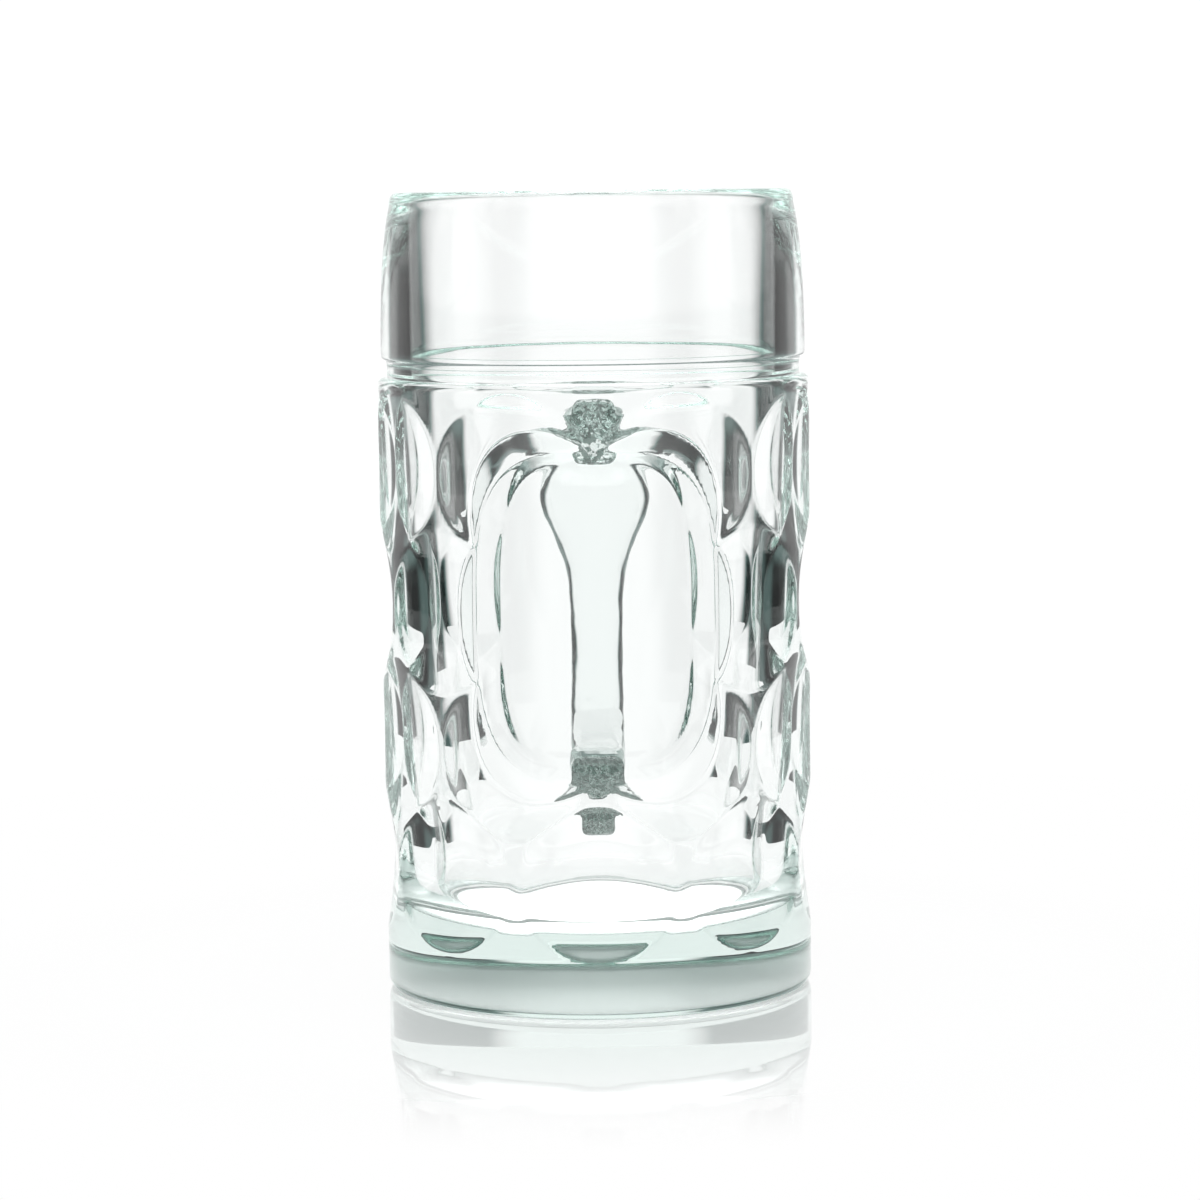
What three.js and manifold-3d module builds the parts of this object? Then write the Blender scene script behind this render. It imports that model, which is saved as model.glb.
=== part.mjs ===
// Dimpled glass beer mug for one litre: a pressed glass body and a handle set hot on its wall.
// Millimetres, +Z up. The origin is on the mug's axis at the surface that it stands on.
// The front faces -Y and the handle stands on the +Y side. Azimuths are measured from the front.

import * as THREE from 'three';
import { mergeVertices } from 'three/addons/utils/BufferGeometryUtils.js';
import Module from 'manifold-3d';

// Outside of the body
const WALL_RADIUS = 54.2; // between the dimples, at the wall's top, where it is widest
const WALL_TAPER = 0.5; // how much less the radius is at the foot
const FOOT_EDGE = 3; // radius of the bottom edge
const FOOT_HEIGHT = 11.4; // from the standing surface to the lowest row's edge
const SHOULDER_HEIGHT = 2.4; // from the highest row's edge to the wall's top
const SHOULDER_ROUND = 2.2; // radius of the wall's top edge
const GROOVE_WIDTH = 4.6;
const GROOVE_DEPTH = 2.5; // below the wall's widest radius
const BAND_HEIGHT = 41.4; // smooth band from the groove to the rim
const BAND_SETBACK = 1; // how much less the band's radius is than the wall's
const BAND_EDGE = 0.9; // bevel of the band's lower edge
const LIP_TAPER = 2.6; // how far the band draws in towards the lip
const LIP_CURVE = 11.4; // height, below the lip's rounding, of the bend in that taper
const LIP_ROUND = 3.4; // height of the lip's rounding
const LIP_THICKNESS = 4.2;

// Inside of the body
const CAVITY_TAPER = 3; // how much less the inner radius is at the floor
const FLOOR_THICKNESS = 18;
const FLOOR_CORNER = 12;

// Dimples, in staggered rows that run round the wall
const DIMPLES_PER_ROW = 8;
const DIMPLE_ROWS = 4;
const ROW_PITCH = 33.4;
const DIMPLE_RADIUS = 20; // of the round outline, measured on the wall
const DIMPLE_DEPTH = 2.5;

// Raised oval panels at the front and the back, which the dimples beside them run up to
const PANEL_HALF_WIDTH = 31; // measured round the wall
const PANEL_HALF_HEIGHT = 40.5;
const PANEL_SQUARENESS = 3.1; // exponent of the outline: 2 is an ellipse, more is squarer
const PANEL_ROW = 2; // the row, counted from 0 at the bottom, that the front panel is level with
const PANEL_DRAFT = 2; // how far its edge runs out for each millimetre of depth
const BACK_PANEL_DROP = 10; // how much lower the back panel is, between the handle's seats

// Handle, a strap with rounded edges that thickens at both seats and flares under the thumb
const UPPER_SEAT_DROP = 18; // below the wall's top
const LOWER_SEAT_HEIGHT = 44;
const HANDLE_REACH = 41; // from the wall to the middle of the grip
const HANDLE_BEND = 27; // radius of the strap's two bends
const GRIP_LEAN = 4; // how far the grip's lower end comes in towards the wall
const GRIP_WIDTH = 16;
const GRIP_THICKNESS = 14;
const THUMB_WIDTH = 32; // across the flare in the upper bend
const THUMB_PLACE = 44.3; // along the strap, from the wall to the flare's widest place
const THUMB_LENGTH = 12; // along the strap, how fast the flare runs out
const SEAT_WIDTH = 17;
const SEAT_THICKNESS = 17;
const SEAT_LENGTH = 15; // how far along the strap each seat's widening runs
const STRAP_SQUARENESS = 2.6; // exponent of the strap's section
const SEAT_GAP = 0.3; // between the handle's seats and the wall

// Facets
const ROUND_STEPS = 64;
const ARC_STEPS = 3;
const DIMPLE_RINGS = 3;
const DIMPLE_SPOKES = 20;
const PANEL_SPOKES = 48;
const STRAP_STEPS = 40;
const STRAP_SIDES = 20;

// Cutting solids run this far past the faces that they cut
const OVERRUN = 4;
const DIMPLE_OVERRUN = 1.12; // share of a dimple's radius that its cutter reaches to
const PANEL_RING = 0.5; // share of a panel's size at which its faces have a second ring of points

// Points closer than this are one point
const SAME_POINT = 1e-4;

// Sizes that follow from those above
const FOOT_RADIUS = WALL_RADIUS - WALL_TAPER;
const GROOVE_RADIUS = WALL_RADIUS - GROOVE_DEPTH;
const BAND_RADIUS = WALL_RADIUS - BAND_SETBACK;
const LIP_RADIUS = BAND_RADIUS - LIP_TAPER;
const CAVITY_TOP_RADIUS = LIP_RADIUS - LIP_THICKNESS;
const CAVITY_FLOOR_RADIUS = CAVITY_TOP_RADIUS - CAVITY_TAPER;
const LIP_CREST_RADIUS = LIP_RADIUS - LIP_THICKNESS / 2;
const LOWEST_ROW = FOOT_HEIGHT + DIMPLE_RADIUS;
const HIGHEST_ROW = LOWEST_ROW + (DIMPLE_ROWS - 1) * ROW_PITCH;
const WALL_TOP = HIGHEST_ROW + DIMPLE_RADIUS + SHOULDER_HEIGHT;
const BAND_BOTTOM = WALL_TOP + GROOVE_WIDTH;
const MUG_HEIGHT = BAND_BOTTOM + BAND_HEIGHT;
const LIP_FOOT = MUG_HEIGHT - LIP_ROUND;
const UPPER_SEAT_HEIGHT = WALL_TOP - UPPER_SEAT_DROP;
const STRAP_START = OVERRUN + DIMPLE_DEPTH; // inside the wall, where the strap's middle line starts and ends

const wasm = await Module();
wasm.setup();

// A closed geometry as a solid that can be joined and cut. Triangles that collapse on the axis are left out.
function solidOf(geometry) {
  const bare = geometry.clone();
  bare.deleteAttribute('normal');
  bare.deleteAttribute('uv');
  const merged = mergeVertices(bare, SAME_POINT);
  const corners = merged.index.array;
  const kept = [];
  for (let i = 0; i < corners.length; i += 3) {
    const [a, b, c] = [corners[i], corners[i + 1], corners[i + 2]];
    if (a !== b && b !== c && c !== a) {
      kept.push(a, b, c);
    }
  }
  const mesh = new wasm.Mesh({
    numProp: 3,
    vertProperties: new Float32Array(merged.attributes.position.array),
    triVerts: new Uint32Array(kept),
  });
  return new wasm.Manifold(mesh);
}

// A solid as a geometry for a mesh.
function geometryOf(solid) {
  const mesh = solid.getMesh();
  const geometry = new THREE.BufferGeometry();
  geometry.setAttribute('position', new THREE.BufferAttribute(new Float32Array(mesh.vertProperties), 3));
  geometry.setIndex(new THREE.BufferAttribute(new Uint32Array(mesh.triVerts), 1));
  geometry.computeVertexNormals();
  return geometry;
}

// A closed surface from a grid of points: each row is a closed loop, and the two ends close on a point.
function closedLoops(loops, firstPoint, lastPoint) {
  const sides = loops[0].length;
  const points = [firstPoint, ...loops.flat(), lastPoint];
  const last = points.length - 1;
  const corner = (row, side) => 1 + row * sides + (side % sides);
  const triangles = [];
  for (let side = 0; side < sides; side += 1) {
    triangles.push(0, corner(0, side + 1), corner(0, side));
    triangles.push(last, corner(loops.length - 1, side), corner(loops.length - 1, side + 1));
    for (let row = 0; row + 1 < loops.length; row += 1) {
      triangles.push(corner(row, side), corner(row, side + 1), corner(row + 1, side + 1));
      triangles.push(corner(row, side), corner(row + 1, side + 1), corner(row + 1, side));
    }
  }
  const geometry = new THREE.BufferGeometry().setFromPoints(points);
  geometry.setIndex(triangles);
  return geometry;
}

// A profile of radius and height, from axis to axis, turned about the Z axis.
function revolve(profile) {
  return solidOf(new THREE.LatheGeometry(profile.getPoints(ARC_STEPS), ROUND_STEPS).rotateX(Math.PI / 2));
}

// A point at an azimuth from the front, a height and a distance from the axis.
function wallPoint(azimuth, height, radius) {
  return new THREE.Vector3(radius * Math.sin(azimuth), -radius * Math.cos(azimuth), height);
}

// The wall's radius between the dimples, which grows evenly from the foot to the wall's top.
function wallRadius(height) {
  return THREE.MathUtils.mapLinear(height, FOOT_EDGE, WALL_TOP, FOOT_RADIUS, WALL_RADIUS);
}

// The outside without dimples, as a full round, larger all over by the given gap.
function plainRound(gap) {
  const profile = new THREE.Path();
  profile.moveTo(0, -gap);
  profile.lineTo(FOOT_RADIUS - FOOT_EDGE, -gap);
  profile.quadraticCurveTo(FOOT_RADIUS + gap, -gap, FOOT_RADIUS + gap, FOOT_EDGE);
  profile.lineTo(WALL_RADIUS + gap, WALL_TOP - SHOULDER_ROUND);
  const shoulderRadius = WALL_RADIUS + gap - SHOULDER_ROUND;
  profile.quadraticCurveTo(WALL_RADIUS + gap, WALL_TOP + gap, shoulderRadius, WALL_TOP + gap);
  profile.lineTo(GROOVE_RADIUS + gap, WALL_TOP + gap);
  profile.lineTo(GROOVE_RADIUS + gap, BAND_BOTTOM - gap);
  profile.lineTo(BAND_RADIUS + gap - BAND_EDGE, BAND_BOTTOM - gap);
  profile.lineTo(BAND_RADIUS + gap, BAND_BOTTOM - gap + BAND_EDGE);
  profile.quadraticCurveTo(BAND_RADIUS + gap, LIP_FOOT - LIP_CURVE, LIP_RADIUS + gap, LIP_FOOT);
  profile.quadraticCurveTo(LIP_RADIUS + gap, MUG_HEIGHT + gap, LIP_CREST_RADIUS, MUG_HEIGHT + gap);
  profile.lineTo(0, MUG_HEIGHT + gap);
  return revolve(profile);
}

// The space inside, open at the top, with the lip's inner rounding.
function cavity() {
  const cornerRadius = CAVITY_FLOOR_RADIUS - FLOOR_CORNER;
  const cornerHeight = FLOOR_THICKNESS + FLOOR_CORNER;
  const profile = new THREE.Path();
  profile.moveTo(0, FLOOR_THICKNESS);
  profile.lineTo(cornerRadius, FLOOR_THICKNESS);
  profile.absarc(cornerRadius, cornerHeight, FLOOR_CORNER, -Math.PI / 2, 0, false);
  profile.lineTo(CAVITY_TOP_RADIUS, LIP_FOOT);
  profile.quadraticCurveTo(CAVITY_TOP_RADIUS, MUG_HEIGHT, LIP_CREST_RADIUS, MUG_HEIGHT);
  profile.lineTo(LIP_CREST_RADIUS, MUG_HEIGHT + OVERRUN);
  profile.lineTo(0, MUG_HEIGHT + OVERRUN);
  return revolve(profile);
}

// The centres of the dimples, as azimuth and height. Every other row is turned by half a step.
function dimpleCentres() {
  const step = (2 * Math.PI) / DIMPLES_PER_ROW;
  const centres = [];
  for (let row = 0; row < DIMPLE_ROWS; row += 1) {
    for (let column = 0; column < DIMPLES_PER_ROW; column += 1) {
      const azimuth = (column + (row % 2) / 2) * step;
      centres.push({ azimuth, height: LOWEST_ROW + row * ROW_PITCH });
    }
  }
  return centres;
}

// One dimple's cutting solid: round on the wall, with a floor that rises evenly to its outline and past it.
function dimpleCutter({ azimuth, height }, gap) {
  const pointOn = (share, spoke, inner) => {
    const turn = (2 * Math.PI * spoke) / DIMPLE_SPOKES;
    const across = share * DIMPLE_RADIUS * Math.cos(turn);
    const up = height + share * DIMPLE_RADIUS * Math.sin(turn);
    const floor = wallRadius(up) + gap - DIMPLE_DEPTH * (1 - share * share);
    return wallPoint(azimuth + across / WALL_RADIUS, up, inner ? floor : WALL_RADIUS + OVERRUN);
  };
  const loopAt = (share, inner) =>
    Array.from({ length: DIMPLE_SPOKES }, (_, spoke) => pointOn(share, spoke, inner));
  const ringShare = DIMPLE_OVERRUN / DIMPLE_RINGS;
  const shares = Array.from({ length: DIMPLE_RINGS }, (_, ring) => ringShare * (ring + 1));
  const floorLoops = shares.map((share) => loopAt(share, true));
  const lidLoops = shares.map((share) => loopAt(share, false)).reverse();
  return solidOf(closedLoops([...floorLoops, ...lidLoops], pointOn(0, 0, true), pointOn(0, 0, false)));
}

// How far a rounded square outline of half size 1 is from its middle at a turn. Exponent 2 gives a circle.
function squareOutline(turn, exponent) {
  const sum = Math.abs(Math.cos(turn)) ** exponent + Math.abs(Math.sin(turn)) ** exponent;
  return sum ** (-1 / exponent);
}

// The block of wall that a panel keeps clear of dimples, whose edge runs out with depth.
function panelBlock({ azimuth, height }, gap) {
  const loopAt = (share, depth) =>
    Array.from({ length: PANEL_SPOKES }, (_, spoke) => {
      const turn = (2 * Math.PI * spoke) / PANEL_SPOKES;
      const size = share * squareOutline(turn, PANEL_SQUARENESS);
      const across = size * (PANEL_HALF_WIDTH + gap + depth * PANEL_DRAFT) * Math.cos(turn);
      const up = size * (PANEL_HALF_HEIGHT + gap + depth * PANEL_DRAFT) * Math.sin(turn);
      return wallPoint(azimuth + across / WALL_RADIUS, height + up, WALL_RADIUS - depth);
    });
  const deep = DIMPLE_DEPTH + OVERRUN;
  const innerLoops = [loopAt(PANEL_RING, deep), loopAt(1, deep)];
  const outerLoops = [loopAt(1, -OVERRUN), loopAt(PANEL_RING, -OVERRUN)];
  const middle = (depth) => wallPoint(azimuth, height, WALL_RADIUS - depth);
  return solidOf(closedLoops([...innerLoops, ...outerLoops], middle(deep), middle(-OVERRUN)));
}

// The middles of the front and the back panel, as azimuth and height.
function panelCentres() {
  const height = LOWEST_ROW + PANEL_ROW * ROW_PITCH;
  return [
    { azimuth: 0, height },
    { azimuth: Math.PI, height: height - BACK_PANEL_DROP },
  ];
}

// The outside with its dimples and panels, larger all over by the given gap.
function dimpledRound(gap) {
  let outside = plainRound(gap);
  const panels = panelCentres().map((centre) => panelBlock(centre, gap));
  for (const centre of dimpleCentres()) {
    let cutter = dimpleCutter(centre, gap);
    for (const panel of panels) {
      cutter = cutter.subtract(panel);
    }
    outside = outside.subtract(cutter);
  }
  return outside;
}

// The middle line of the handle's strap, in the YZ plane, from inside the wall to inside the wall.
function strapLine() {
  const inside = WALL_RADIUS - STRAP_START;
  const grip = WALL_RADIUS + HANDLE_REACH;
  const at = (y, z) => new THREE.Vector3(0, y, z);
  const line = new THREE.CurvePath();
  const top = UPPER_SEAT_HEIGHT;
  const bottom = LOWER_SEAT_HEIGHT;
  const low = grip - GRIP_LEAN;
  const upperStart = at(grip - HANDLE_BEND, top);
  const upperEnd = at(grip, top - HANDLE_BEND);
  const lowerStart = at(low, bottom + HANDLE_BEND);
  const lowerEnd = at(low - HANDLE_BEND, bottom);
  line.add(new THREE.LineCurve3(at(inside, top), upperStart));
  line.add(new THREE.QuadraticBezierCurve3(upperStart, at(grip, top), upperEnd));
  line.add(new THREE.LineCurve3(upperEnd, lowerStart));
  line.add(new THREE.QuadraticBezierCurve3(lowerStart, at(low, bottom), lowerEnd));
  line.add(new THREE.LineCurve3(lowerEnd, at(inside, bottom)));
  return line;
}

// The strap: rounded sections along its middle line, thicker at the seats and wider under the thumb.
function strap() {
  const line = strapLine();
  const length = line.getLength();
  const sideways = new THREE.Vector3(1, 0, 0);
  const loops = [];
  for (let step = 0; step <= STRAP_STEPS; step += 1) {
    const share = step / STRAP_STEPS;
    const middle = line.getPointAt(share);
    const outward = new THREE.Vector3().crossVectors(line.getTangentAt(share), sideways);
    const fromEnd = Math.min(share, 1 - share) * length;
    const seat = 1 - THREE.MathUtils.smoothstep(fromEnd, STRAP_START, STRAP_START + SEAT_LENGTH);
    const fromThumb = (share * length - STRAP_START - THUMB_PLACE) / THUMB_LENGTH;
    const thumb = Math.exp(-fromThumb * fromThumb);
    const gripWidth = THREE.MathUtils.lerp(GRIP_WIDTH, THUMB_WIDTH, thumb);
    const halfWidth = THREE.MathUtils.lerp(gripWidth, SEAT_WIDTH, seat) / 2;
    const halfThickness = THREE.MathUtils.lerp(GRIP_THICKNESS, SEAT_THICKNESS, seat) / 2;
    const loop = [];
    for (let side = 0; side < STRAP_SIDES; side += 1) {
      const turn = (2 * Math.PI * side) / STRAP_SIDES;
      const size = squareOutline(turn, STRAP_SQUARENESS);
      const point = middle.clone();
      point.addScaledVector(sideways, size * halfWidth * Math.cos(turn));
      point.addScaledVector(outward, size * halfThickness * Math.sin(turn));
      loop.push(point);
    }
    loops.push(loop);
  }
  return solidOf(closedLoops(loops, line.getPointAt(0), line.getPointAt(1)));
}

function glassMaterial() {
  const glass = new THREE.MeshStandardMaterial({ color: 0xdfe9e4, roughness: 0.04, metalness: 0 });
  glass.transparent = true;
  glass.opacity = 0.35;
  return glass;
}

function namedMesh(name, solid) {
  const mesh = new THREE.Mesh(geometryOf(solid), glassMaterial());
  mesh.name = name;
  return mesh;
}

const mug = new THREE.Group();
mug.add(namedMesh('glass_body', dimpledRound(0).subtract(cavity())));
mug.add(namedMesh('handle', strap().subtract(dimpledRound(SEAT_GAP))));

export default mug;
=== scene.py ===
"""Looks of a dimpled glass beer mug: the pressed body, its handle, the floor, the light and the camera."""

import math

import bpy
from bpy.props import FloatProperty, FloatVectorProperty, IntProperty, PointerProperty
from mathutils import Matrix, Vector, noise
from mathutils.bvhtree import BVHTree


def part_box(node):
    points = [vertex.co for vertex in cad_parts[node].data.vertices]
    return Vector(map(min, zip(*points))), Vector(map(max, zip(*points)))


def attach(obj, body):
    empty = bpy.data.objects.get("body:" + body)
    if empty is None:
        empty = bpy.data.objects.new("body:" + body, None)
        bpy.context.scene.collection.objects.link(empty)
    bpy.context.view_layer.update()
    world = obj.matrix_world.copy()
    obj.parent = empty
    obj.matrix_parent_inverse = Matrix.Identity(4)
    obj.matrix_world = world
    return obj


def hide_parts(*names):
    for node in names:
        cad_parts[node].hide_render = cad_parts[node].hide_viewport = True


bl_info = {
    "name": "Dimpled beer mug",
    "version": (1, 0, 0),
    "blender": (4, 5, 0),
    "location": "View3D > Sidebar > Mug",
    "description": "Builds a dimpled glass beer mug, its handle and a plain studio",
    "category": "Add Mesh",
}

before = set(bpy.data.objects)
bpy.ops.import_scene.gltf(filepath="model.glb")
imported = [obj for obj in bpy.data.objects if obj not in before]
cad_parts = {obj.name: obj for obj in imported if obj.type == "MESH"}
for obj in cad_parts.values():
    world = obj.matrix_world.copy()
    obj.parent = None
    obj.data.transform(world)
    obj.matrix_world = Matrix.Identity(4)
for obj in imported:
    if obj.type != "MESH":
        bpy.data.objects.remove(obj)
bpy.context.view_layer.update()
BODY_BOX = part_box("glass_body")
HANDLE_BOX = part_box("handle")

BODY_PIECE = "dimpled_body"
HANDLE_PIECE = "strap_handle"
MM = 0.001
WHITE = (1.0, 1.0, 1.0)

# Rows of facets along the body's outline, beside those of the dimpled wall
UNDERSIDE_ROWS = 10
ROUNDING_ROWS = 8
GROOVE_EDGE_ROWS = 6
GROOVE_MIDDLE_ROWS = 5
BAND_ROWS = 24
CAVITY_ROWS = 44
CORNER_ROWS = 12
INNER_FLOOR_ROWS = 8

# Facets round and along the strap, and round the floor
STRAP_SIDES = 96
BEND_STEPS = 60
GRIP_STEPS = 70
SEAT_STEPS = 28
FLOOR_SIDES = 96

# Slow ripple of the pressed faces: seed, waves per metre, detail, and the noise value that is not moved
RIPPLE_SEED = 7.0
RIPPLE_SCALE = 45.0
RIPPLE_DETAIL = 1.0
RIPPLE_REST = 0.75

# Mould marks of the strap: strength, waves per metre round it and along it, and shift of the noise
STRAP_MARKS = (
    (1.0, 60, 260, 0.0),
    (1.0, 240, 90, 0.0),
    (1.5, 30, 70, 4.0),
)
FLANK_MARKS = (0.8, 600, 130, 0.0)
FLANK_RANGE = (0.5, 0.8)

# Seats of the strap: nominal length, share of it where the glass starts to spread, and the pits of the weld
SEAT_LENGTH = 15 * MM
SPREAD_START = 0.6
SPREAD_POWER = 3
PIT_WAVES = 900
PIT_SEED_WAVES = 50
PIT_EDGE_STEPS = 4
WALL_SEARCH_START = 0.2

# Finish of the glass: noise scale and detail, and the noise values or heights between which a finish changes;
# the weld and speck values place the painted shade in the two welds
WEAR_SCALE = 60.0
WEAR_DETAIL = 3.0
WEAR_RANGE = (0.55, 0.8)
SCUFF_RANGE = (0.1 * MM, 0.5 * MM)
SKIN_DETAIL = 2.0
BODY_SKIN = (150.0, 0.002 * MM)
STRAP_SKIN = (700.0, 0.004 * MM)
PAINTED_SHADE_REACH = (54.6 * MM, 55.2 * MM)
SPECK_SCALE = 800.0
SPECK_DETAIL = 1.0
SPECK_RANGE = (0.56, 0.46)
LOWER_WELD_SHADE_RANGE = (80 * MM, 90 * MM)
LOWER_WELD_SHADE_SHARE = 0.75

# Floor: distances from the axis between which its finish changes, the share of the glow radius where its
# painted glow under the foot starts to fade, and its place below the foot
FLOOR_DROP = 0.2 * MM
MIRROR_ROUGHNESS = 0.02
MIRROR_RANGE = (110 * MM, 240 * MM)
WHITE_RANGE = (62 * MM, 190 * MM)
PAINTED_GLOW_EDGE = 0.95

# Light: parts of a unit direction, or strengths, between which it changes
UPPER_RANGE = (0.02, 0.12)
BELOW_RANGE = (-0.45, -0.3)
FRONT_RANGE = (-0.05, 0.05)
MIRRORED_RANGE = (0.0, 0.5)
HORIZON_RANGE = (0.0, 0.03)
CEILING_RANGE = (0.2, 0.45)
SHADE_RANGE = (0.1, 0.6)

# Camera and light paths
SENSOR_WIDTH = 36.0
CLIP_END = 50.0
BOUNCES = 32
TRANSMISSION_BOUNCES = 28
GLOSSY_BOUNCES = 20


def length(name, description, default):
    """A size in metres that a user may change."""
    return FloatProperty(
        name=name, description=description, default=default, min=0.0, unit="LENGTH", precision=5
    )


def factor(name, description, default, top=1.0):
    """A plain number from 0 to its top."""
    return FloatProperty(
        name=name, description=description, default=default, min=0.0, max=top, subtype="FACTOR"
    )


def count(name, description, default, least):
    """A whole number that is at least the given one."""
    return IntProperty(name=name, description=description, default=default, min=least)


def colour(name, description, default):
    """A linear colour without alpha."""
    return FloatVectorProperty(
        name=name, description=description, default=default, size=3, subtype="COLOR", min=0.0, max=1.0
    )


def angle(name, description, degrees):
    """An angle, kept in radians."""
    return FloatProperty(
        name=name, description=description, default=math.radians(degrees), subtype="ANGLE"
    )


class MugBodySizes(bpy.types.PropertyGroup):
    """The turned outline of the glass body."""

    wall_radius: length("Wall radius", "Between the dimples, at the wall's top", BODY_BOX[1].x)
    height: length("Height", "From the standing surface to the rim", BODY_BOX[1].z)
    wall_taper: length("Wall taper", "How much less the radius is at the foot", 0.5 * MM)
    foot_edge: length("Foot edge", "Radius of the bottom edge", 3 * MM)
    wall_top: length("Wall top", "Height of the shoulder above the dimples", 154 * MM)
    shoulder: length("Shoulder", "Rounding of the wall's top edge", 2.2 * MM)
    groove_width: length("Groove width", "Height of the groove under the band", 4.6 * MM)
    groove_depth: length("Groove depth", "Below the wall's widest radius", 2.5 * MM)
    band_setback: length("Band setback", "How much less the band's radius is than the wall's", 1 * MM)
    lip_taper: length("Lip taper", "How far the band draws in towards the lip", 2.6 * MM)
    lip_curve: length("Lip curve", "Height of the bend in that taper, below the rounding", 11.4 * MM)
    lip_round: length("Lip rounding", "Height of the lip's rounding", 3.4 * MM)
    lip_thickness: length("Lip thickness", "Of the wall at the lip", 4.2 * MM)
    cavity_taper: length("Cavity taper", "How much less the inner radius is at the floor", 3 * MM)
    floor_thickness: length("Floor thickness", "Of the glass under the drink", 18 * MM)
    floor_corner: length("Floor corner", "Radius between the floor and the wall", 12 * MM)
    waviness: length("Waviness", "Slow ripple that pressing leaves in the faces", 0.07 * MM)
    segments: count("Segments", "Facets round the body", 320, 48)
    wall_rows: count("Wall rows", "Rows of facets up the wall", 156, 24)


class MugDimpleSizes(bpy.types.PropertyGroup):
    """The dimples, which stand in staggered rows, and the two plain panels."""

    per_row: count("Dimples per row", "Round the wall", 8, 3)
    rows: count("Rows", "One above the other", 4, 1)
    lowest_row: length("Lowest row", "Height of the lowest dimples' middles", 31.4 * MM)
    row_pitch: length("Row pitch", "From row to row", 33.4 * MM)
    radius: length("Dimple radius", "Of the round outline, on the wall", 20.3 * MM)
    depth: length("Dimple depth", "At the middle", 2.6 * MM)
    bowl: factor("Bowl", "Exponent of the section: 2 is round, more is flatter in the middle", 2.1, 8.0)
    softness: length("Softness", "How far fire polishing rounds the ridges", 0.3 * MM)
    panel_width: length("Panel half width", "Measured round the wall", 31 * MM)
    panel_height: length("Panel half height", "Of the oval panels", 40.5 * MM)
    panel_squareness: factor("Panel squareness", "Exponent of the outline", 3.1, 8.0)
    front_draft: factor("Front draft", "How far the front panel's edge runs out for its depth", 3.2, 8.0)
    back_draft: factor("Back draft", "How far the back panel's edge runs out for its depth", 1.7, 8.0)
    front_panel: length("Front panel", "Height of the front panel's middle", 98.2 * MM)
    back_panel: length("Back panel", "Height of the back panel's middle", 88.2 * MM)
    foot_ring: length("Foot ring", "Height of the plain ring under the dimples", 13 * MM)
    foot_softness: length("Foot softness", "How far the ring's edge is rounded", 3.4 * MM)
    foot_draft: factor("Foot draft", "How far the ring's edge runs up for its depth", 7.5, 8.0)


class MugHandleSizes(bpy.types.PropertyGroup):
    """The strap handle."""

    upper_seat: length("Upper seat", "Height of the upper seat's middle", 136 * MM)
    lower_seat: length("Lower seat", "Height of the lower seat's middle", 44 * MM)
    thickness: length("Thickness", "Of the strap", 14 * MM)
    grip_width: length("Grip width", "Of the strap in the hand", 18 * MM)
    thumb_width: length("Thumb width", "Across the flare in the upper bend", 37 * MM)
    thumb_place: length("Thumb place", "Along the strap, from the upper bend's start to the flare", 37 * MM)
    thumb_length: length("Thumb length", "Along the strap, how fast the flare runs out", 15 * MM)
    upper_seat_width: length("Upper seat width", "Where the strap meets the wall", 12 * MM)
    upper_seat_thickness: length("Upper seat thickness", "Where the strap meets the wall", 16 * MM)
    lower_seat_width: length("Lower seat width", "Where the strap meets the wall", 15 * MM)
    lower_seat_thickness: length("Lower seat thickness", "Where the strap meets the wall", 10 * MM)
    seat_flare: length("Seat flare", "How far the glass spreads on the wall", 0.8 * MM)
    bend: length("Bend", "Radius of the two bends", 27 * MM)
    lean: length("Lean", "How far the grip's lower end comes in towards the wall", 4 * MM)
    squareness: factor("Squareness", "Exponent of the strap's section", 5.5, 12.0)
    gap: length("Seam", "Width of the seam between handle and wall", 0.06 * MM)
    wrinkle: length("Chill wrinkles", "Depth of the marks that the mould leaves", 0.22 * MM)
    stipple: length("Weld stipple", "Depth of the pitting in the two welds", 0.3 * MM)


class MugGlass(bpy.types.PropertyGroup):
    """The glass."""

    tint: colour("Tint", "Colour of the light that deep glass lets through", (0.30, 0.66, 0.55))
    density: factor("Tint density", "How soon the glass shows its tint", 3.5, 100.0)
    index: factor("Index", "Of refraction", 1.52, 3.0)
    # The weld colour is painted shade: near-black glass on the strap where it meets the wall
    weld: colour("Weld", "Colour of the chilled glass in the two welds", (0.025, 0.05, 0.04))
    strap: colour("Strap", "Share of light that each face of the strap lets in", (0.955, 0.965, 0.962))
    haze: factor("Haze", "Roughness of the most worn places", 0.02)
    scuffs: factor("Scuffs", "Roughness of the underside", 0.52)


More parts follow.
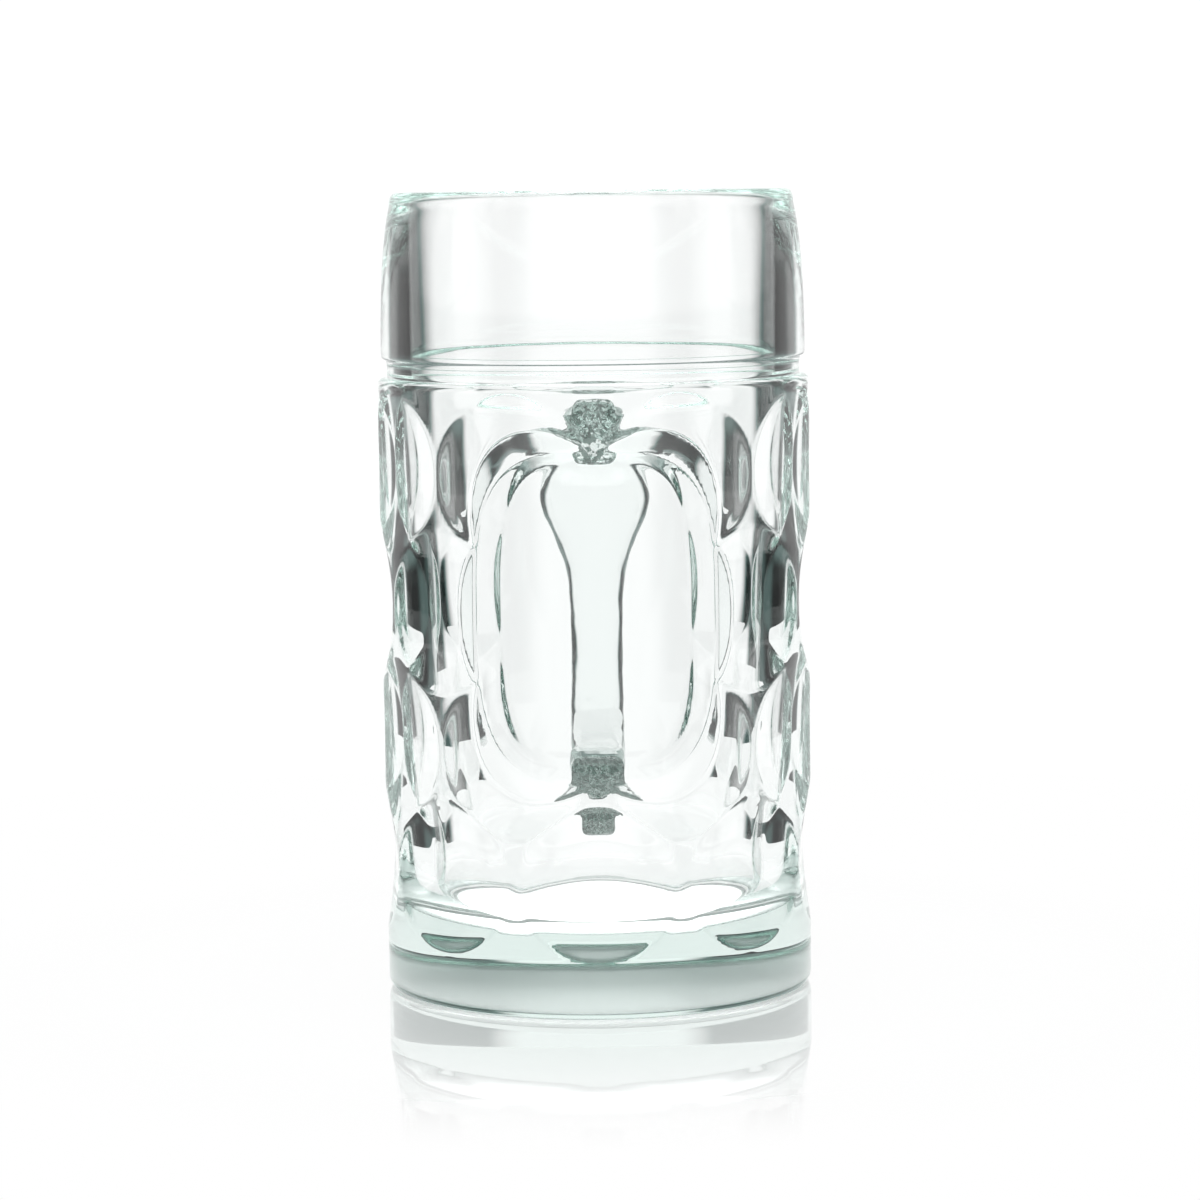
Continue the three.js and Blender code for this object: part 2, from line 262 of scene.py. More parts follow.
class MugStage(bpy.types.PropertyGroup):
    """The floor, the light and the camera."""

    floor_radius: length("Floor radius", "Of the round floor", 380 * MM)
    floor_colour: colour("Floor colour", "Of the matt floor", (0.93, 0.93, 0.93))
    floor_gloss: factor("Floor gloss", "Share of mirror in the floor round the foot", 0.85)
    floor_white: factor("Floor white", "Share of plain white in the floor next to the foot", 0.4)
    # Painted light: the floor under the foot glows brighter than plain white, standing in for the light that
    # the glass gathers onto it; the radius below is that of this painted glow
    painted_glow: factor("Glow", "Strength of the light from below, under the foot", 3.2, 8.0)
    painted_glow_radius: length("Glow radius", "Of the lit round under the foot", 48 * MM)
    light: factor("Light", "Strength of the white panels", 1.06, 4.0)
    panel_angle: angle("Light panels", "Half the width of the white panel behind the mug", 19)
    front_share: factor("Front share", "Width of the panel behind the mug for that of the front one", 0.45)
    panel_shape: factor("Panel shape", "Width of the panels for their height", 0.75)
    ring_end: angle("Ring end", "Where the dark ring round the panel behind the mug ends", 55)
    softness: angle("Softness", "Half the width of the soft edges of panel and ring", 5)
    dark: factor("Dark", "Strength of the dark rings", 0.0)
    shade: colour("Shade", "Colour of the dimmest light", (0.5, 0.78, 0.74))
    side_angle: angle("Side panels", "Half the width of the white panels at the sides", 19)
    side_light: factor("Side light", "Strength of the light from the sides", 1.0)
    ceiling: factor("Ceiling", "Share of the light that the floor mirrors from far above", 0.55)
    below: factor("Below", "Strength of the light from far below the horizon", 0.92)
    upper: factor("Upper light", "Strength of the dark rings above the horizon", 0.22)
    spill: factor("Spill", "Strength of the stray light outside the dark rings", 0.15)
    front_light: factor("Front light", "Strength of what the glass mirrors from the front", 0.15)
    lens: FloatProperty(name="Lens", description="Focal length", default=119.4, min=1.0, unit="CAMERA")
    distance: length("Camera distance", "From the mug's axis", 1.0)
    tilt: angle("Camera tilt", "Below the horizon", 5.88)
    roll: angle("Camera roll", "Round the line of sight", 0.7)
    offset: length("Camera offset", "To the right of the mug's axis", 1.05 * MM)


def curve_points(start, corner, end, steps):
    """Points on a quadratic curve after its start, as plain tuples."""
    points = []
    for step in range(1, steps + 1):
        t = step / steps
        first = (1 - t) * (1 - t)
        second = 2 * t * (1 - t)
        third = t * t
        points.append(tuple(first * a + second * b + third * c for a, b, c in zip(start, corner, end)))
    return points


def line_points(start, end, steps):
    """Points on a straight line after its start, as plain tuples."""
    points = []
    for step in range(1, steps + 1):
        points.append(tuple(a + (b - a) * step / steps for a, b in zip(start, end)))
    return points


def smooth_step(value, low, high):
    """0 below low, 1 above high, with a soft change between."""
    t = min(max((value - low) / (high - low), 0.0), 1.0)
    return t * t * (3 - 2 * t)


def square_outline(turn, exponent):
    """Distance from the middle of a rounded square of half size 1, at a turn."""
    total = abs(math.cos(turn)) ** exponent + abs(math.sin(turn)) ** exponent
    return total ** (-1 / exponent)


def closed_mesh(name, loops, first_point, last_point):
    """A closed mesh from loops of equally many points, whose two ends close on a point."""
    sides = len(loops[0])
    points = [first_point]
    for loop in loops:
        points.extend(loop)
    points.append(last_point)
    last = len(points) - 1
    last_row = len(loops) - 1

    def corner(row, side):
        return 1 + row * sides + side % sides

    faces = []
    for side in range(sides):
        faces.append((0, corner(0, side + 1), corner(0, side)))
        for row in range(last_row):
            near = (corner(row, side), corner(row, side + 1))
            far = (corner(row + 1, side + 1), corner(row + 1, side))
            faces.append(near + far)
        faces.append((last, corner(last_row, side), corner(last_row, side + 1)))
    mesh = bpy.data.meshes.new(name)
    mesh.from_pydata(points, [], faces)
    mesh.validate()
    mesh.polygons.foreach_set("use_smooth", [True] * len(mesh.polygons))
    mesh.update()
    return mesh


def add_object(name, data):
    """An object at the origin, in the scene's own collection."""
    piece = bpy.data.objects.new(name, data)
    bpy.context.scene.collection.objects.link(piece)
    return piece


def add_math(tree, operation, *values):
    """A math node on the given numbers or sockets. Returns its output."""
    node = tree.nodes.new("ShaderNodeMath")
    node.operation = operation
    for place, value in enumerate(values):
        if isinstance(value, (int, float)):
            node.inputs[place].default_value = value
        else:
            tree.links.new(value, node.inputs[place])
    return node.outputs[0]


def add_ramp(tree, value, low, high, bottom, top):
    """A smooth change from bottom at low to top at high."""
    node = tree.nodes.new("ShaderNodeMapRange")
    node.interpolation_type = "SMOOTHSTEP"
    limits = {"From Min": low, "From Max": high, "To Min": bottom, "To Max": top}
    for name, number in limits.items():
        node.inputs[name].default_value = number
    tree.links.new(value, node.inputs["Value"])
    return node.outputs["Result"]


def add_noise(tree, place, scale, detail):
    """A noise texture at a place. Returns its node."""
    node = tree.nodes.new("ShaderNodeTexNoise")
    node.inputs["Scale"].default_value = scale
    node.inputs["Detail"].default_value = detail
    tree.links.new(place, node.inputs["Vector"])
    return node


def add_vector(tree, operation, vector):
    """A vector math node on the given vector. Returns the node."""
    node = tree.nodes.new("ShaderNodeVectorMath")
    node.operation = operation
    tree.links.new(vector, node.inputs[0])
    return node


def add_colours(tree, share, first, second):
    """A mix from the first colour to the second by a share."""
    node = tree.nodes.new("ShaderNodeMix")
    node.data_type = "RGBA"
    node.inputs["A"].default_value = (*first, 1.0)
    node.inputs["B"].default_value = (*second, 1.0)
    tree.links.new(share, node.inputs["Factor"])
    return node.outputs["Result"]


def add_parts(tree, vector):
    """The X, Y and Z of a vector."""
    node = tree.nodes.new("ShaderNodeSeparateXYZ")
    tree.links.new(vector, node.inputs[0])
    return node.outputs


def glass_material(name, glass, skin_scale, skin_height):
    """Clear glass with a faint tint, slight wear, fine marks in its skin and a scuffed underside."""
    material = bpy.data.materials.new(name)
    material.use_nodes = True
    tree = material.node_tree
    shader = tree.nodes["Principled BSDF"]
    shader.inputs["Base Color"].default_value = (*WHITE, 1.0)
    shader.inputs["Transmission Weight"].default_value = 1.0
    shader.inputs["IOR"].default_value = glass.index
    place = tree.nodes.new("ShaderNodeTexCoord").outputs["Object"]
    wear = add_noise(tree, place, WEAR_SCALE, WEAR_DETAIL)
    haze = add_ramp(tree, wear.outputs["Fac"], *WEAR_RANGE, 0.0, glass.haze)
    scuffs = add_ramp(tree, add_parts(tree, place)["Z"], *SCUFF_RANGE, glass.scuffs, 0.0)
    tree.links.new(add_math(tree, "MAXIMUM", haze, scuffs), shader.inputs["Roughness"])
    marks = add_noise(tree, place, skin_scale, SKIN_DETAIL)
    skin = tree.nodes.new("ShaderNodeBump")
    skin.inputs["Strength"].default_value = 1.0
    skin.inputs["Distance"].default_value = skin_height
    tree.links.new(marks.outputs["Fac"], skin.inputs["Height"])
    tree.links.new(skin.outputs["Normal"], shader.inputs["Normal"])
    depth = tree.nodes.new("ShaderNodeVolumeAbsorption")
    depth.inputs["Color"].default_value = (*glass.tint, 1.0)
    depth.inputs["Density"].default_value = glass.density
    tree.links.new(depth.outputs["Volume"], tree.nodes["Material Output"].inputs["Volume"])
    return material


def weld_painted_shade(material, glass):
    """Painted shade in the two pitted welds: dark glass with pale specks, on the faces next to the wall."""
    tree = material.node_tree
    place = tree.nodes.new("ShaderNodeTexCoord").outputs["Object"]
    flat = add_vector(tree, "MULTIPLY", place)
    flat.inputs[1].default_value = (1.0, 1.0, 0.0)
    away = add_vector(tree, "LENGTH", flat.outputs["Vector"])
    near = add_ramp(tree, away.outputs["Value"], *PAINTED_SHADE_REACH, 1.0, 0.0)
    specks = add_noise(tree, place, SPECK_SCALE, SPECK_DETAIL)
    upper = add_ramp(tree, specks.outputs["Fac"], *SPECK_RANGE, 0.0, 1.0)
    lower = add_ramp(tree, add_parts(tree, place)["Z"], *LOWER_WELD_SHADE_RANGE, LOWER_WELD_SHADE_SHARE, 0.0)
    # Painted shade: dark next to the wall, in patches at the upper weld and over most of the lower one
    painted_weld_shade = add_math(tree, "MULTIPLY", near, add_math(tree, "MAXIMUM", upper, lower))
    shader = tree.nodes["Principled BSDF"]
    tree.links.new(add_colours(tree, painted_weld_shade, glass.strap, glass.weld), shader.inputs["Base Color"])


def body_profile(body):
    """The body's outline from the middle of the underside, over the rim, to the middle of the floor.

    Each point is (radius, height, outside, wavy): outside is 1 where dimples may be, wavy is 1 on free
    faces."""
    wall = body.wall_radius
    foot = wall - body.wall_taper
    groove = wall - body.groove_depth
    groove_round = body.groove_width / 3
    groove_end = groove + groove_round / 2
    band = wall - body.band_setback
    lip = band - body.lip_taper
    crest = lip - body.lip_thickness / 2
    inner = lip - body.lip_thickness
    inner_floor = inner - body.cavity_taper
    top = body.wall_top
    band_bottom = top + body.groove_width
    rim = body.height
    lip_foot = rim - body.lip_round
    edge = body.foot_edge
    shoulder = body.shoulder
    corner = body.floor_corner
    floor = body.floor_thickness

    # Each stretch: corner of its curve or None on a line, end, rows of facets, outside, wavy
    stretches = (
        (None, (foot - edge, 0.0), UNDERSIDE_ROWS, 0, 0),
        ((foot, 0.0), (foot, edge), ROUNDING_ROWS, 0, 0),
        (None, (wall, top - shoulder), body.wall_rows, 1, 1),
        ((wall, top), (wall - shoulder, top), ROUNDING_ROWS, 1, 0),
        ((groove, top), (groove, top + groove_round), GROOVE_EDGE_ROWS, 0, 0),
        ((groove, band_bottom), (groove_end, band_bottom), GROOVE_MIDDLE_ROWS, 0, 0),
        ((band, band_bottom), (band, band_bottom + groove_round), GROOVE_EDGE_ROWS, 0, 0),
        ((band, lip_foot - body.lip_curve), (lip, lip_foot), BAND_ROWS, 0, 1),
        ((lip, rim), (crest, rim), ROUNDING_ROWS, 0, 0),
        ((inner, rim), (inner, lip_foot), ROUNDING_ROWS, 0, 0),
        (None, (inner_floor, floor + corner), CAVITY_ROWS, 0, 1),
        ((inner_floor, floor), (inner_floor - corner, floor), CORNER_ROWS, 0, 1),
        (None, (0.0, floor), INNER_FLOOR_ROWS, 0, 0),
    )
    start = (0.0, 0.0)
    outline = [(*start, 0, 0)]
    for bend, end, rows, outside, wavy in stretches:
        points = line_points(start, end, rows) if bend is None else curve_points(start, bend, end, rows)
        outline.extend((radius, height, outside, wavy) for radius, height in points)
        start = end
    return outline


def body_blank(body):
    """The body before its dimples are pressed, turned from its outline, with the two shares as attributes."""
    outline = body_profile(body)
    segments = body.segments
    loops = []
    for radius, height, _outside, _wavy in outline[1:-1]:
        loop = []
        for segment in range(segments):
            azimuth = 2 * math.pi * segment / segments
            loop.append((radius * math.sin(azimuth), -radius * math.cos(azimuth), height))
        loops.append(loop)
    mesh = closed_mesh("body_blank", loops, (0.0, 0.0, 0.0), (0.0, 0.0, body.floor_thickness))
    for place, name in ((2, "outside"), (3, "wavy")):
        values = [outline[0][place]]
        for point in outline[1:-1]:
            values.extend([point[place]] * segments)
        values.append(outline[-1][place])
        attribute = mesh.attributes.new(name, "FLOAT", "POINT")
        attribute.data.foreach_set("value", [float(value) for value in values])
    return mesh


def named_value(tree, name):
    """The value of a point attribute."""
    node = tree.nodes.new("GeometryNodeInputNamedAttribute")
    node.data_type = "FLOAT"
    node.inputs["Name"].default_value = name
    return node.outputs["Attribute"]


def wall_place(tree):
    """The azimuth from the front and the height of each point, and its place and way out from the axis."""
    position = tree.nodes.new("GeometryNodeInputPosition").outputs["Position"]
    parts = add_parts(tree, position)
    front = add_math(tree, "MULTIPLY", parts["Y"], -1.0)
    azimuth = add_math(tree, "ARCTAN2", parts["X"], front)
    flat = tree.nodes.new("ShaderNodeCombineXYZ")
    tree.links.new(parts["X"], flat.inputs["X"])
    tree.links.new(parts["Y"], flat.inputs["Y"])
    outward = add_vector(tree, "NORMALIZE", flat.outputs[0])
    return azimuth, parts["Z"], position, outward.outputs["Vector"]


def row_depth(tree, sizes, row, azimuth, height, columns):
    """How deep one row of dimples is at each point, below 0 outside their outlines.

    Both halves of the wall are alike, so each dimple of the right half also stands for its mirror image."""
    step = 2 * math.pi / columns
    stagger = row % 2
    around = add_math(tree, "ABSOLUTE", azimuth)
    rise = add_math(tree, "MULTIPLY", sizes["Row pitch"], float(row))
    up = add_math(tree, "SUBTRACT", height, add_math(tree, "ADD", sizes["Lowest row"], rise))
    nearest = None
    for column in range(columns // 2 + 1 - stagger):
        turn = step * (column + stagger / 2)
        away = add_math(tree, "ABSOLUTE", add_math(tree, "SUBTRACT", around, turn))
        nearest = away if nearest is None else add_math(tree, "MINIMUM", nearest, away)
    across = add_math(tree, "MULTIPLY", nearest, sizes["Wall radius"])
    square = add_math(tree, "ADD", add_math(tree, "POWER", across, 2.0), add_math(tree, "POWER", up, 2.0))
    share = add_math(tree, "DIVIDE", square, add_math(tree, "POWER", sizes["Dimple radius"], 2.0))
    share = add_math(tree, "POWER", share, add_math(tree, "DIVIDE", sizes["Bowl"], 2.0))
    return add_math(tree, "MULTIPLY", sizes["Dimple depth"], add_math(tree, "SUBTRACT", 1.0, share))


def panel_limit(tree, sizes, turn, side, azimuth, height):
    """How deep the wall may be beside a panel: 0 on the panel, more with the distance from it."""
    turned = add_math(tree, "SUBTRACT", azimuth, turn)
    around = add_math(tree, "ABSOLUTE", add_math(tree, "WRAP", turned, math.pi, -math.pi))
    across = add_math(tree, "MULTIPLY", around, sizes["Wall radius"])
    up = add_math(tree, "ABSOLUTE", add_math(tree, "SUBTRACT", height, sizes[side + " panel"]))
    power = sizes["Panel squareness"]
    wide = add_math(tree, "POWER", add_math(tree, "DIVIDE", across, sizes["Panel half width"]), power)
    tall = add_math(tree, "POWER", add_math(tree, "DIVIDE", up, sizes["Panel half height"]), power)
    root = add_math(tree, "DIVIDE", 1.0, power)
    share = add_math(tree, "POWER", add_math(tree, "ADD", wide, tall), root)
    area = add_math(tree, "MULTIPLY", sizes["Panel half width"], sizes["Panel half height"])
    beyond = add_math(tree, "SUBTRACT", share, 1.0)
    outside = add_math(tree, "MULTIPLY", beyond, add_math(tree, "SQRT", area))
    return add_math(tree, "MAXIMUM", add_math(tree, "DIVIDE", outside, sizes[side + " draft"]), 0.0)


def pressed_depth(tree, sizes, rows, columns, azimuth, height):
    """How deep the wall is pressed at each point: the rows of dimples, less the foot ring and the panels."""
    depth = None
    for row in range(rows):
        pressed = row_depth(tree, sizes, row, azimuth, height, columns)
        if depth is None:
            depth = pressed
        else:
            depth = add_math(tree, "SMOOTH_MAX", depth, pressed, sizes["Softness"])
    depth = add_math(tree, "SMOOTH_MAX", depth, 0.0, sizes["Softness"])
    above = add_math(tree, "SUBTRACT", height, sizes["Foot ring"])
    ring = add_math(tree, "MAXIMUM", add_math(tree, "DIVIDE", above, sizes["Foot draft"]), 0.0)
    depth = add_math(tree, "SMOOTH_MIN", depth, ring, sizes["Foot softness"])
    for turn, side in ((0.0, "Front"), (math.pi, "Back")):
        limit = panel_limit(tree, sizes, turn, side, azimuth, height)
        depth = add_math(tree, "SMOOTH_MIN", depth, limit, sizes["Softness"])
    depth = add_math(tree, "MAXIMUM", depth, 0.0)
    return add_math(tree, "MULTIPLY", depth, named_value(tree, "outside"))


def wall_ripple(tree, sizes, position):
    """The slow ripple of the free faces, as a distance outwards."""
    ripple = add_noise(tree, position, RIPPLE_SCALE, RIPPLE_DETAIL)
    ripple.noise_dimensions = "4D"
    ripple.inputs["W"].default_value = RIPPLE_SEED
    height = add_math(tree, "MULTIPLY", sizes["Waviness"], named_value(tree, "wavy"))
    sway = add_math(tree, "SUBTRACT", ripple.outputs["Fac"], RIPPLE_REST)
    return add_math(tree, "MULTIPLY", sway, height)


def dimple_tree(values, rows, columns, material):
    """The node tree that presses the dimples into the blank and leaves the two panels plain."""
    tree = bpy.data.node_groups.new("Dimpled wall", "GeometryNodeTree")
    tree.interface.new_socket("Geometry", in_out="INPUT", socket_type="NodeSocketGeometry")
    tree.interface.new_socket("Geometry", in_out="OUTPUT", socket_type="NodeSocketGeometry")
    for name, value in values.items():
        socket = tree.interface.new_socket(name, in_out="INPUT", socket_type="NodeSocketFloat")
        socket.default_value = value
    entry = tree.nodes.new("NodeGroupInput")
    sizes = {name: entry.outputs[name] for name in values}
    azimuth, height, position, outward = wall_place(tree)
    depth = pressed_depth(tree, sizes, rows, columns, azimuth, height)
    sway = wall_ripple(tree, sizes, position)
    shift = add_vector(tree, "SCALE", outward)
    tree.links.new(add_math(tree, "SUBTRACT", sway, depth), shift.inputs["Scale"])
    press = tree.nodes.new("GeometryNodeSetPosition")
    tree.links.new(entry.outputs["Geometry"], press.inputs["Geometry"])
    tree.links.new(shift.outputs["Vector"], press.inputs["Offset"])
    real = tree.nodes.new("GeometryNodeRealizeInstances")
    tree.links.new(press.outputs["Geometry"], real.inputs["Geometry"])
    paint = tree.nodes.new("GeometryNodeSetMaterial")
    paint.inputs["Material"].default_value = material
    tree.links.new(real.outputs["Geometry"], paint.inputs["Geometry"])
    leave = tree.nodes.new("NodeGroupOutput")
    tree.links.new(paint.outputs["Geometry"], leave.inputs["Geometry"])
    return tree


def pressed_body(blank, tree, values):
    """A plain mesh of the blank with the node tree's dimples in it."""
    piece = add_object(BODY_PIECE, blank)
    modifier = piece.modifiers.new("Dimpled wall", "NODES")
    modifier.node_group = tree
    for item in tree.interface.items_tree:
        if item.in_out == "INPUT" and item.name in values:
            modifier[item.identifier] = values[item.name]
    seen = piece.evaluated_get(bpy.context.evaluated_depsgraph_get())
    mesh = bpy.data.meshes.new_from_object(seen)
    mesh.name = BODY_PIECE
    piece.modifiers.remove(modifier)
    piece.data = mesh
    bpy.data.meshes.remove(blank)
    for name in ("outside", "wavy"):
        mesh.attributes.remove(mesh.attributes[name])
    return piece


class MUG_OT_body(bpy.types.Operator):
    """Press the glass body: a turned blank with rows of dimples and two plain panels"""

    bl_idname = "mug.body"
    bl_label = "Glass body"

    def execute(self, context):
        body = context.scene.mug_body
        dimples = context.scene.mug_dimples
        material = glass_material("body_glass", context.scene.mug_glass, *BODY_SKIN)
        values = {
            "Wall radius": body.wall_radius,
            "Lowest row": dimples.lowest_row,
            "Row pitch": dimples.row_pitch,
            "Dimple radius": dimples.radius,
            "Dimple depth": dimples.depth,
            "Bowl": dimples.bowl,
            "Softness": dimples.softness,
            "Panel half width": dimples.panel_width,
            "Panel half height": dimples.panel_height,
            "Panel squareness": dimples.panel_squareness,
            "Front draft": dimples.front_draft,
            "Back draft": dimples.back_draft,
            "Front panel": dimples.front_panel,
            "Back panel": dimples.back_panel,
            "Foot ring": dimples.foot_ring,
            "Foot draft": dimples.foot_draft,
            "Foot softness": dimples.foot_softness,
            "Waviness": body.waviness,
        }
        tree = dimple_tree(values, dimples.rows, dimples.per_row, material)
        piece = pressed_body(body_blank(body), tree, values)
        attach(piece, "root")
        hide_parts("glass_body")
        return {"FINISHED"}


def wall_finder(body):
    """A function that gives the wall's place behind a point, looking from the handle towards the axis."""
    corners = [vertex.co for vertex in body.data.vertices]
    tree = BVHTree.FromPolygons(corners, [face.vertices for face in body.data.polygons])
    inward = Vector((0.0, -1.0, 0.0))

    def wall_at(across, up):
        hit = tree.ray_cast(Vector((across, WALL_SEARCH_START, up)), inward)[0]
        if hit is None:
            raise RuntimeError("the handle's seat misses the wall")
        return hit.y

    return wall_at


def strap_section(handle, along):
    """Half the strap's width and thickness at a length along it."""
    flare = math.exp(-(((along - handle.thumb_place) / handle.thumb_length) ** 2))
    width = handle.grip_width + (handle.thumb_width - handle.grip_width) * flare
    return width / 2, handle.thickness / 2


def mark_depth(marks, across, out, along):
    """Depth of one kind of mould marks at a place on the strap, around 0."""
    strength, round_waves, along_waves, shift = marks
    return strength * noise.noise((across * round_waves, out * round_waves, along * along_waves + shift))


def strap_ring(handle, middle, outward, half_width, half_thickness, along):
    """One loop of the strap's section, with the fine wrinkles of its skin."""
    ring = []
    for side in range(STRAP_SIDES):
        turn = -2 * math.pi * side / STRAP_SIDES
        size = square_outline(turn, handle.squareness)
        across = size * half_width * math.cos(turn)
        out = size * half_thickness * math.sin(turn)
        grain = sum(mark_depth(marks, across, out, along) for marks in STRAP_MARKS)
        flank = smooth_step(abs(across) / half_width, *FLANK_RANGE)
        grain += flank * mark_depth(FLANK_MARKS, across, out, along)
        swell = 1 - handle.wrinkle * (1 + grain) / max(half_width, half_thickness)
        point = middle + outward * (out * swell)
        point.x = across * swell
        ring.append(point)
    return ring


def seat_rings(handle, wall_at, start, outward, along, width, thickness):
    """Loops from the end of a bend to the wall, then the loops of the face that lies on the wall."""
    rings = []
    depth, height = start
    first_width, first_thickness = strap_section(handle, along)
    centre = Vector((0.0, 0.0, height))
    for step in range(1, SEAT_STEPS + 1):
        share = step / SEAT_STEPS
        seat = smooth_step(share, 0.0, 1.0)
        spread = max(0.0, (share - SPREAD_START) / (1 - SPREAD_START)) ** SPREAD_POWER * handle.seat_flare
        half_width = first_width + (width / 2 - first_width) * seat + spread
        half_thickness = first_thickness + (thickness / 2 - first_thickness) * seat + spread
        ring = strap_ring(handle, centre, outward, half_width, half_thickness, -share * SEAT_LENGTH)
        for point in ring:
            wall = wall_at(point.x, point.z) + handle.gap
            point.y = depth + (wall - depth) * share
        rings.append(ring)
    edge = rings[-1]
    for step in range(1, SEAT_STEPS):
        share = 1 - step / SEAT_STEPS
        ring = []
        for point in edge:
            across = point.x * share
            up = height + (point.z - height) * share
            grain = noise.noise((across * PIT_WAVES, up * PIT_WAVES, height * PIT_SEED_WAVES))
            away = handle.gap + handle.stipple * (1 + grain) * smooth_step(step, 0, PIT_EDGE_STEPS)
            ring.append(Vector((across, wall_at(across, up) + away, up)))
        rings.append(ring)
    tip = Vector((0.0, wall_at(0.0, height) + handle.gap + handle.stipple, height))
    return rings, tip


def strap_loops(handle, wall_at, reach):
    """All loops of the strap from the upper seat's face to the lower seat's face, and the two end points."""
    grip = reach - handle.thickness / 2
    low = grip - handle.lean
    bend = handle.bend
    top = handle.upper_seat
    bottom = handle.lower_seat
    start = (grip - bend, top)
    end = (low - bend, bottom)
    path = [start]
    path += curve_points(start, (grip, top), (grip, top - bend), BEND_STEPS)
    path += line_points((grip, top - bend), (low, bottom + bend), GRIP_STEPS)
    path += curve_points((low, bottom + bend), (low, bottom), end, BEND_STEPS)
    upward = Vector((0.0, 0.0, 1.0))
    upper_size = (handle.upper_seat_width, handle.upper_seat_thickness)
    lower_size = (handle.lower_seat_width, handle.lower_seat_thickness)
    along = 0.0
    upper, upper_tip = seat_rings(handle, wall_at, start, upward, along, *upper_size)
    loops = list(reversed(upper))
    for place, (y, z) in enumerate(path):
        before = path[max(place - 1, 0)]
        after = path[min(place + 1, len(path) - 1)]
        tangent = Vector((0.0, after[0] - before[0], after[1] - before[1])).normalized()
        outward = Vector((0.0, -tangent.z, tangent.y))
        along += math.dist((y, z), before)
        half_width, half_thickness = strap_section(handle, along)
        middle = Vector((0.0, y, z))
        loops.append(strap_ring(handle, middle, outward, half_width, half_thickness, along))
    lower, lower_tip = seat_rings(handle, wall_at, end, -upward, along, *lower_size)
    loops += lower
    return loops, upper_tip, lower_tip


class MUG_OT_handle(bpy.types.Operator):
    """Draw the handle: a strap from the upper to the lower seat, flared under the thumb"""

    bl_idname = "mug.handle"
    bl_label = "Handle"

    def execute(self, context):
        handle = context.scene.mug_handle
        glass = context.scene.mug_glass
        body = bpy.data.objects.get(BODY_PIECE)
        if body is None:
            raise RuntimeError("the glass body comes before the handle")
        loops, upper_tip, lower_tip = strap_loops(handle, wall_finder(body), HANDLE_BOX[1].y)
        mesh = closed_mesh(HANDLE_PIECE, loops, upper_tip, lower_tip)
        material = glass_material("handle_glass", glass, *STRAP_SKIN)
        weld_painted_shade(material, glass)
        mesh.materials.append(material)
        piece = add_object(HANDLE_PIECE, mesh)
        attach(piece, "root")
        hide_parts("handle")
        return {"FINISHED"}


def add_shader_mix(tree, share, first, second):
    """A mix from the first shader to the second by a share."""
    node = tree.nodes.new("ShaderNodeMixShader")
    tree.links.new(share, node.inputs["Fac"])
    tree.links.new(first, node.inputs[1])
    tree.links.new(second, node.inputs[2])
    return node.outputs[0]


def floor_material(stage):
    """A white floor: part mirror round the foot, plain white towards its edge, and glowing under the foot
    with painted light that only shows through the glass.
    """
    material = bpy.data.materials.new("studio_floor")
    material.use_nodes = True
    tree = material.node_tree
    tree.nodes.remove(tree.nodes["Principled BSDF"])
    place = tree.nodes.new("ShaderNodeTexCoord").outputs["Object"]
    distance = add_vector(tree, "LENGTH", place).outputs["Value"]
    matt = tree.nodes.new("ShaderNodeBsdfDiffuse")
    matt.inputs["Color"].default_value = (*stage.floor_colour, 1.0)
    mirror = tree.nodes.new("ShaderNodeBsdfGlossy")
    mirror.inputs["Color"].default_value = (*WHITE, 1.0)
    mirror.inputs["Roughness"].default_value = MIRROR_ROUGHNESS
    gloss = add_ramp(tree, distance, *MIRROR_RANGE, stage.floor_gloss, 0.0)
    surface = add_shader_mix(tree, gloss, matt.outputs[0], mirror.outputs[0])
    # Painted light: inside the glow radius the floor is plain emission, brighter than white, a pool of light
    # under the foot
    painted_glow_range = (PAINTED_GLOW_EDGE * stage.painted_glow_radius, stage.painted_glow_radius)
    white = tree.nodes.new("ShaderNodeEmission")
    tree.links.new(add_ramp(tree, distance, *painted_glow_range, stage.painted_glow, 1.0), white.inputs["Strength"])
    plain = add_ramp(tree, distance, *WHITE_RANGE, stage.floor_white, 1.0)
    plain = add_math(tree, "MAXIMUM", plain, add_ramp(tree, distance, *painted_glow_range, 1.0, 0.0))
    whole = add_shader_mix(tree, plain, surface, white.outputs[0])
    tree.links.new(whole, tree.nodes["Material Output"].inputs["Surface"])
    return material


def axis_turn(tree, parts, along, across, rise):
    """The angle between a direction and an axis of the studio, either way along that axis."""
    off_axis = add_math(tree, "ADD", add_math(tree, "POWER", parts[across], 2.0), rise)
    ahead = add_math(tree, "ABSOLUTE", parts[along])
    return add_math(tree, "ARCTAN2", add_math(tree, "SQRT", off_axis), ahead)


def panel_light(tree, stage, parts):
    """Light that is seen through the glass: white panels on four sides, in dark rings, and a pale ground."""
    rise = add_math(tree, "POWER", add_math(tree, "MULTIPLY", parts["Z"], stage.panel_shape), 2.0)
    narrowing = add_ramp(tree, parts["Y"], *FRONT_RANGE, stage.front_share, 1.0)
    depth_turn = add_math(tree, "MULTIPLY", axis_turn(tree, parts, "Y", "X", rise), narrowing)
    side_turn = axis_turn(tree, parts, "X", "Y", rise)
    soft = stage.softness
    ring_end = (stage.ring_end - soft, stage.ring_end + soft)
    shares = [
        add_ramp(tree, parts["Z"], *BELOW_RANGE, stage.below, 0.0),
        add_ramp(tree, depth_turn, *ring_end, 0.0, stage.spill),
    ]
    for turn, half, strength in (
        (depth_turn, stage.panel_angle, stage.light),
        (side_turn, stage.side_angle, stage.side_light),
    ):
        shares.append(add_ramp(tree, turn, half - soft, half + soft, strength, 0.0))
    light = add_ramp(tree, parts["Z"], *UPPER_RANGE, stage.dark, stage.upper)
    for share in shares:
        light = add_math(tree, "MAXIMUM", light, share)
    return light


